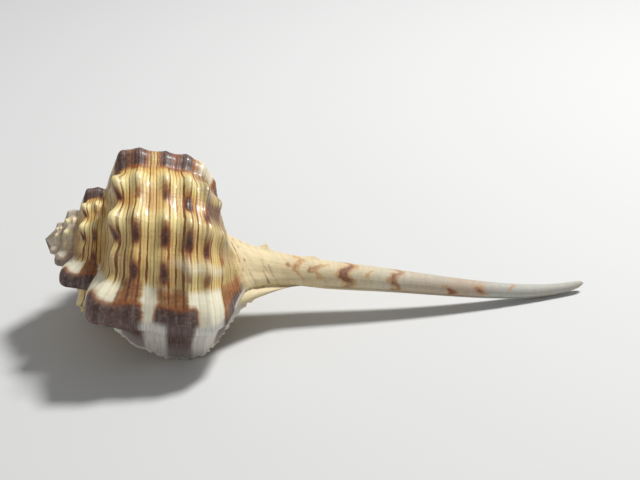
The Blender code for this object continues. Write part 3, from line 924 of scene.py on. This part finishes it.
class ShellPaint(Paint):
    # the shell's material: fields that vary over the surface, and a method for each layer of colour
    def __init__(self, name):
        super().__init__(name)
        objectPoint = self.node("ShaderNodeTexCoord", {}, []).outputs["Object"]
        growth = self.node("ShaderNodeUVMap", {"uv_map": "growth"}, []).outputs[0]
        separated = self.node("ShaderNodeSeparateXYZ", {}, [growth])
        self.run = Value(self, separated.outputs[0]) * uvForm["runs"]
        self.whorl = Value(self, separated.outputs[1]) * uvForm["whorls"] + uvForm["first"]
        self.marks = {name: self.attribute(name) for name in markNames}
        self.relief = self.marks["relief"]
        self.broad = self.noise(objectPoint, *noiseForm["broad"])
        self.middle = self.noise(objectPoint, *noiseForm["middle"])
        self.fine = self.noise(objectPoint, *noiseForm["fine"])
        self.small = self.noise(objectPoint, *noiseForm["small"])
        self.streaks = self.grown("streaks", self.broad * 0.6)
        self.along = self.grown("along")
        self.patches = self.grown("patches")
        self.warm = (self.marks["warm"] + (self.middle - 0.5) * 0.5).step(0.12, 0.9)
        self.onBody = self.run.step(bodyRun + 2, bodyRun - 4)
        self.canal = self.run.step(bodyRun - 4, bodyRun + 1.5)
        self.inside = self.marks["inside"] * self.run.step(46, 38)
        self.early = (self.whorl + (self.middle - 0.5) * 0.35).step(-1.84, -2.32)
        self.spiralLines()

    def grown(self, name, third=0.0):
        # noise whose place is the run and the growth
        alongRun, alongGrowth, scale, detail, roughness = grownNoise[name]
        place = [self.run * alongRun, self.whorl * alongGrowth, third]
        where = self.node("ShaderNodeCombineXYZ", {}, place).outputs[0]
        return self.noise(where, scale, detail, roughness)

    def spiralLines(self):
        # offset is the distance to the nearest line's middle, 0 to 0.5; each line has its own strength
        # and width, and a faint line runs half way between two
        wobble = (self.fine - 0.5) * 0.35 + (self.middle - 0.5) * 0.45
        lineAt = (self.run + wobble) * (1 / ribForm["threadSpacing"])
        number = {"W": lineAt.math("FLOOR")}
        own = self.value("ShaderNodeTexWhiteNoise", {"noise_dimensions": "1D"}, number, "Value")
        self.offset = (lineAt.math("FRACT") - 0.5).math("ABSOLUTE")
        width = 0.012 + 0.055 * own + 0.06 * self.warm + 0.05 * (self.patches - 0.5)
        strong = 1 - (self.offset - width).step(0.0, 0.10)
        strong = strong * (0.45 + 0.65 * own) * (0.6 + 0.8 * self.patches.step(0.25, 0.75))
        halfOffset = ((lineAt + 0.5).math("FRACT") - 0.5).math("ABSOLUTE")
        faint = (1 - halfOffset.step(0.03, 0.15)) * (self.along.step(0.35, 0.65) * 0.55)
        self.lines = (strong + faint).clamp()

    def ground(self):
        # cream; yellower between the ribs, partly the shell's own tone and partly painted shade in the
        # hollows; pale on the knobs, golden round the spots, brown by the suture
        colours, relief = shellColours, self.relief
        base = self.mix(self.broad.step(0.36, 0.68) * 0.5, colours["cream"], colours["paleCream"])
        # painted shade: the hollows between the ribs, away from the varices, turn yellow-brown; partly the
        # shell's own tone
        hollow = (1 - relief.step(0.05, 0.45)) * (1 - self.marks["varix"].step(0.1, 0.7))
        hollow = hollow * (1 - 0.6 * self.whorl.step(-0.26, -0.18))
        base = self.mix(hollow * (0.25 + 0.6 * self.patches.step(0.35, 0.7)), base, colours["valleyToneAndShade"])
        base = self.mix(relief.step(0.30, 0.8) * 0.9, base, colours["paleCream"])
        base = self.mix(self.warm * 0.40, base, colours["gold"])
        bySuture = self.run.step(9.5, 3.5) * (0.35 + 0.5 * self.patches.step(0.3, 0.7)) * 0.7
        base = self.mix(bySuture, base, colours["shoulder"])
        lines = self.lines * self.onBody * (1 - 0.35 * relief.clamp() + 0.5 * self.warm)
        base = self.mix(lines.clamp(), base, colours["line"])
        uneven = 0.85 + 0.5 * self.lines + 0.9 * (self.along - 0.5) + 0.8 * (self.middle - 0.5)
        return self.mix((self.marks["band"] * uneven).clamp() * 0.9, base, colours["band"])

    def spots(self, base):
        # dark spots with an orange-brown border
        ragged = (self.fine - 0.5) * 0.55 + (self.middle - 0.5) * 0.45 + (self.streaks - 0.5) * 0.3
        spots = self.marks["spots"] + ragged
        base = self.mix(spots.step(0.10, 0.60) * 0.70, base, shellColours["orange"])
        base = self.mix(spots.step(0.38, 0.85) * 0.85, base, shellColours["brown"])
        return self.mix(spots.step(0.62, 1.15) * 0.92, base, shellColours["darkBrown"])

    def varices(self, base):
        # pale and brown blocks, and purple-brown crests mottled with painted grey highlight
        colours, marks, fine, middle = shellColours, self.marks, self.fine, self.middle
        ragged = (self.streaks - 0.5) * 0.6 + (middle - 0.5) * 0.8 + (fine - 0.5) * 0.4
        blocks = (marks["blocks"] + ragged * 1.2).step(0.05, 0.95)
        # pale ground, with the last rib's strip that is partly painted highlight
        pale = (marks["pale"] + ragged * 0.8).step(0.15, 0.80) * (1 - blocks)
        stained = (self.lines * 0.6 + (self.patches - 0.4)).clamp() * 0.5
        base = self.mix(pale * 0.95, base, self.mix(stained, colours["white"], colours["cream"]))
        deep = self.lines * 0.5 + self.patches * 0.6 + marks["blocks"] * 0.3 + (middle - 0.5) * 0.8
        brownish = self.mix(deep.step(0.28, 0.85) * 0.9, colours["orange"], colours["brown"])
        golden = (self.streaks + fine - 0.5).step(0.45, 0.85) * 0.45
        base = self.mix(blocks * 0.93, base, self.mix(golden, brownish, colours["gold"]))
        crest = marks["purple"] + ragged * 0.8
        base = self.mix(crest.step(0.02, 0.48) * 0.85, base, colours["orange"])
        # painted highlight: grey mottling on the crests, where their fine ridges would catch the light
        grain = (self.along * 0.9 + fine * 0.5 + self.small * 0.3 - 0.35).step(0.35, 0.65)
        crestColour = self.mix(grain * 0.55, colours["purple"], colours["greyStreakAndSheen"])
        brown = (self.patches + (fine - 0.5) * 0.4).step(0.45, 0.75) * 0.55
        crestColour = self.mix(brown, crestColour, colours["brown"])
        return self.mix(crest.step(0.28, 0.88) * 0.97, base, crestColour)

    def lipFace(self, base):
        # the pale face past the last varix, with its own bands and a white edge
        colours, whorl = shellColours, self.whorl
        stripes = self.grown("stripes")
        face = self.mix(stripes.step(0.3, 0.75) * 0.6, colours["lipFace"], colours["white"])
        run = self.run + (stripes - 0.5) * 1.2
        banded = sum(
            run.step(low - 0.5, low + 0.7) * run.step(high + 0.5, high - 0.7)
            for low, high in blockForm["face"]
        )
        fading = 0.70 + 0.35 * whorl.step(-0.01, -0.06)
        face = self.mix(banded * fading * (0.6 + 0.6 * stripes), face, colours["lipBand"])
        face = self.mix(whorl.step(-0.010, 0.0) * 0.7, face, colours["white"])
        return self.mix(self.marks["face"] * self.onBody, base, face)

    def wornSpire(self, base):
        # the first whorls are worn to a grey beige
        colours = shellColours
        dark = (self.fine * 0.6 + self.streaks * 0.5).step(0.45, 0.75) * 0.5
        worn = self.mix(dark, colours["apex"], colours["apexDark"])
        worn = self.mix(self.relief.step(0.2, 0.8) * 0.6, worn, colours["paleCream"])
        return self.mix(self.early * 0.85, base, worn)

    def canalOver(self, base):
        # cream to grey at the tip, which is partly a paler tip and partly painted grey of reflected light;
        # brown dashes at its foot, crooked marks further on
        colours, run, fine, middle = shellColours, self.run, self.fine, self.middle
        # painted reflected light in part: grey towards the canal's tip
        colour = self.mix(run.step(48, 90), colours["canal"], colours["canalTipAndReflectedGrey"])
        colour = self.mix(self.broad.step(0.42, 0.7) * 0.35, colour, colours["gold"])
        zigzag = (self.whorl * turn * 4 + 0.6).math("SINE") * 0.8
        crooked = run + (middle - 0.5) * 5 + (fine - 0.5) * 2.5 + zigzag
        marks = sum(
            crooked.bell(at, size) * self.whorl.bell(grown, around) * strength
            for at, size, strength, grown, around in canalForm["marks"]
        )
        uneven = 0.40 + 0.8 * self.broad.step(0.34, 0.58) + (middle - 0.5) * 2.2
        marks = marks * uneven + (fine - 0.5) * 0.6
        colour = self.mix(marks.step(0.08, 0.55) * 0.60, colour, colours["gold"])
        colour = self.mix(marks.step(0.55, 1.20) * 0.85, colour, colours["canalMark"])
        # grey streaks along the canal, in the grey of the crests' painted highlight
        colour = self.mix((self.streaks + self.along - 0.9).clamp() * 0.8, colour, colours["greyStreakAndSheen"])
        dashes = self.offset.step(0.20, 0.10) * middle.step(0.50, 0.60)
        dashes = dashes * run.step(bodyRun + 9, bodyRun + 3)
        return self.mix(self.canal, base, self.mix(dashes * 0.8, colour, colours["canalMark"]))

    def insideOver(self, base):
        # fine white mottling, and the smooth flesh-coloured inside
        base = self.mix((self.small - 0.5).clamp() * 0.35, base, shellColours["white"])
        colour = self.mix(self.whorl.step(0.05, 0.3), shellColours["inside"], shellColours["insideDeep"])
        return self.mix(self.inside, base, colour)

    def gloss(self):
        # knobs and the inside are glossier, the canal and the worn whorls duller
        knobs, inside, early, canal = self.relief.clamp(), self.inside, self.early, self.canal
        rough = 0.48 - 0.14 * knobs + 0.14 * (self.streaks - 0.5) + 0.12 * early + 0.14 * canal
        self.into("Roughness", (rough - 0.18 * inside).clamp())
        coat = 0.12 + 0.30 * knobs + 0.4 * inside - 0.1 * early - 0.12 * canal
        self.into("Coat Weight", coat.clamp())
        self.into("Coat Roughness", glossForm["coatRoughness"])
        self.into("IOR", glossForm["refraction"])

    def grain(self):
        # growth streaks, fine grain, sunk lines, and pits on the worn whorls
        height = (self.streaks - 0.5) * 0.5 * (1 - self.inside)
        height = height + (self.fine - 0.5) * (0.22 + 0.4 * self.canal) - self.lines * 0.30 * self.onBody
        height = height + self.early * (self.middle + self.fine - 1) * 1.2
        inputs = {"Strength": glossForm["bumpStrength"], "Distance": glossForm["bumpDistance"]}
        bump = self.node("ShaderNodeBump", {}, {**inputs, "Height": height})
        self.tree.links.new(bump.outputs[0], self.shader.inputs["Normal"])


def paintShell():
    paint = ShellPaint("shellSurface")
    base = paint.spots(paint.ground())
    for layer in (paint.varices, paint.lipFace, paint.wornSpire, paint.canalOver, paint.insideOver):
        base = layer(base)
    paint.into("Base Color", base)
    paint.gloss()
    paint.grain()
    return paint.material


shellMesh.materials.append(paintShell())
print("shell painted")

# metres and watts
studio = {
    "floorSize": 1.6,
    "floorColour": (0.64, 0.64, 0.63),
    "floorRoughness": 0.9,
    "worldColour": (0.95, 0.97, 1.0),
    "worldStrength": 0.27,
    "keyFrom": (0.22, 0.16, 0.50),
    "keySize": 0.12,
    "keyWatts": 3.5,
    "fillFrom": (-0.45, -0.55, 0.40),
    "fillSize": 0.7,
    "fillWatts": 0.5,
    "aim": (-0.02, 0, 0.012),
}

# the photograph's viewpoint: degrees and metres, seen from the side that faces -Y
photoCamera = {
    "elevation": 28,
    "yaw": -2.72,
    "distance": 0.22873,
    "target": (-0.00118, 0.0, 0.01844),
    "fieldOfView": 30.16,
}


def addArea(name, place, size, watts):
    light = bpy.data.lights.new(name, "AREA")
    light.shape = "DISK"
    light.size = size
    light.energy = watts
    thing = bpy.data.objects.new(name, light)
    bpy.context.scene.collection.objects.link(thing)
    thing.location = place
    thing.rotation_euler = (Vector(studio["aim"]) - Vector(place)).to_track_quat("-Z", "Y").to_euler()


def makeStudio():
    half = studio["floorSize"] / 2
    mesh = bpy.data.meshes.new("floor")
    corners = [(-half, -half, 0), (half, -half, 0), (half, half, 0), (-half, half, 0)]
    mesh.from_pydata(corners, [], [(0, 1, 2, 3)])
    floor = bpy.data.objects.new("floor", mesh)
    bpy.context.scene.collection.objects.link(floor)
    paint = Paint("floorSurface")
    paint.into("Base Color", (*studio["floorColour"], 1))
    paint.into("Roughness", studio["floorRoughness"])
    mesh.materials.append(paint.material)
    addArea("keyLight", studio["keyFrom"], studio["keySize"], studio["keyWatts"])
    addArea("fillLight", studio["fillFrom"], studio["fillSize"], studio["fillWatts"])
    world = bpy.data.worlds.new("studioWorld")
    world.use_nodes = True
    background = world.node_tree.nodes["Background"]
    background.inputs[0].default_value = (*studio["worldColour"], 1)
    background.inputs[1].default_value = studio["worldStrength"]
    bpy.context.scene.world = world


def makeCamera():
    elevation, yaw = math.radians(photoCamera["elevation"]), math.radians(photoCamera["yaw"])
    level = math.cos(elevation)
    back = Vector((math.sin(yaw) * level, -math.cos(yaw) * level, math.sin(elevation)))
    lens = bpy.data.cameras.new("photoCamera")
    lens.angle = math.radians(photoCamera["fieldOfView"])
    lens.clip_start = 0.005
    camera = bpy.data.objects.new("photoCamera", lens)
    bpy.context.scene.collection.objects.link(camera)
    camera.location = Vector(photoCamera["target"]) + back * photoCamera["distance"]
    camera.rotation_euler = (-back).to_track_quat("-Z", "Y").to_euler()
    bpy.context.scene.camera = camera
    bpy.context.scene.view_settings.view_transform = "Standard"


makeStudio()
makeCamera()
bpy.context.view_layer.update()
print("studio and camera ready")
